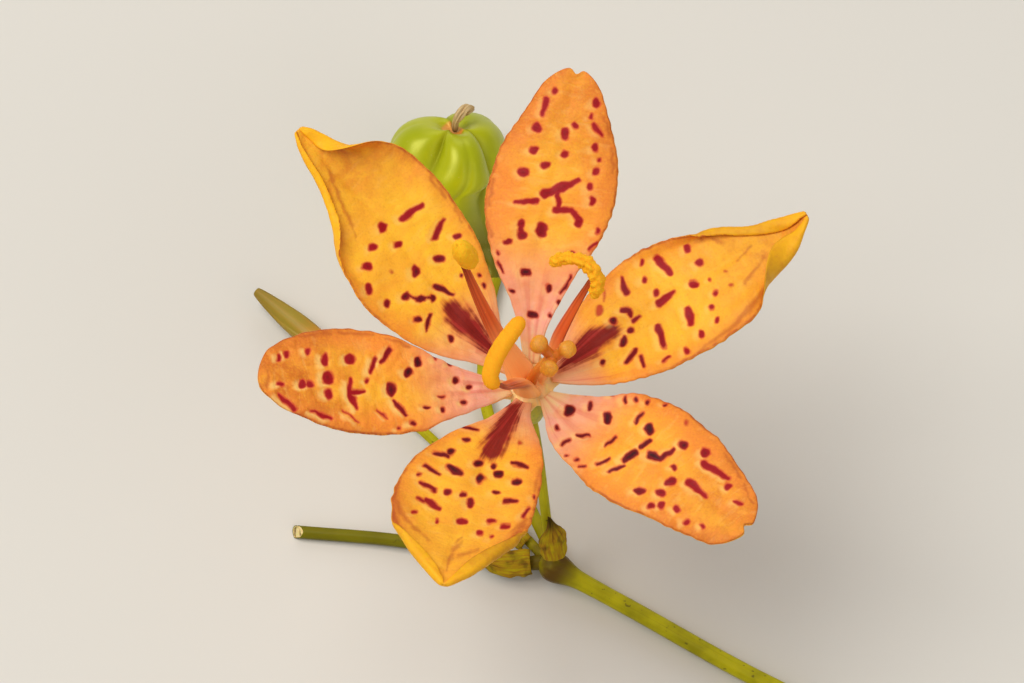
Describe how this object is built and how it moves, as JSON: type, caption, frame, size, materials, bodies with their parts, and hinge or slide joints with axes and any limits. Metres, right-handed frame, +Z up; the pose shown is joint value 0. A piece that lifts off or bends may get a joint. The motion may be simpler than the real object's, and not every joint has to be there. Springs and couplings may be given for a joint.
{
  "type": "bramble lily cut flower",
  "caption": "Cut lily-like flower lying on its side stems: spotted open bloom on an upright pedicel, lobed seed capsule, bud, stub and cut stem.",
  "frame": {"origin": "on the table, under the middle of the bounding box", "axes": "+Z up, out of the table; +X to the right as the bloom's picture is seen, towards the cut end of the stem; +Y away from the viewer, towards the capsule"},
  "size_m": [0.0818, 0.0706, 0.0476],
  "materials": {
    "outer_tepal": "satin petal with dark spots",
    "inner_tepal": "satin petal with dark spots",
    "filament": "satin",
    "anther": "powdery",
    "style": "satin",
    "ovary": "satin",
    "stem": "satin",
    "bud": "satin",
    "capsule": "waxy gloss",
    "withered_flower": "dry and papery",
    "bract": "dry and papery"
  },
  "bodies": {
    "root": {"outer_tepal_right": "outer_tepal", "outer_tepal_left": "outer_tepal", "outer_tepal_front": "outer_tepal", "inner_tepal_back": "inner_tepal", "inner_tepal_left": "inner_tepal", "inner_tepal_right": "inner_tepal", "filament_right": "filament", "filament_left": "filament", "filament_front": "filament", "anther_right": "anther", "anther_left": "anther", "anther_front": "anther", "style": "style", "ovary": "ovary", "bloom_pedicel": "stem", "main_stem": "stem", "cut_pedicel": "stem", "bud_pedicel": "stem", "bud": "bud", "capsule_pedicel": "stem", "capsule": "capsule", "withered_flower": "withered_flower", "bract_at_bloom": "bract", "bract_at_cut_pedicel": "bract", "bract_at_bud_pedicel": "bract"}
  },
  "joints": []
}
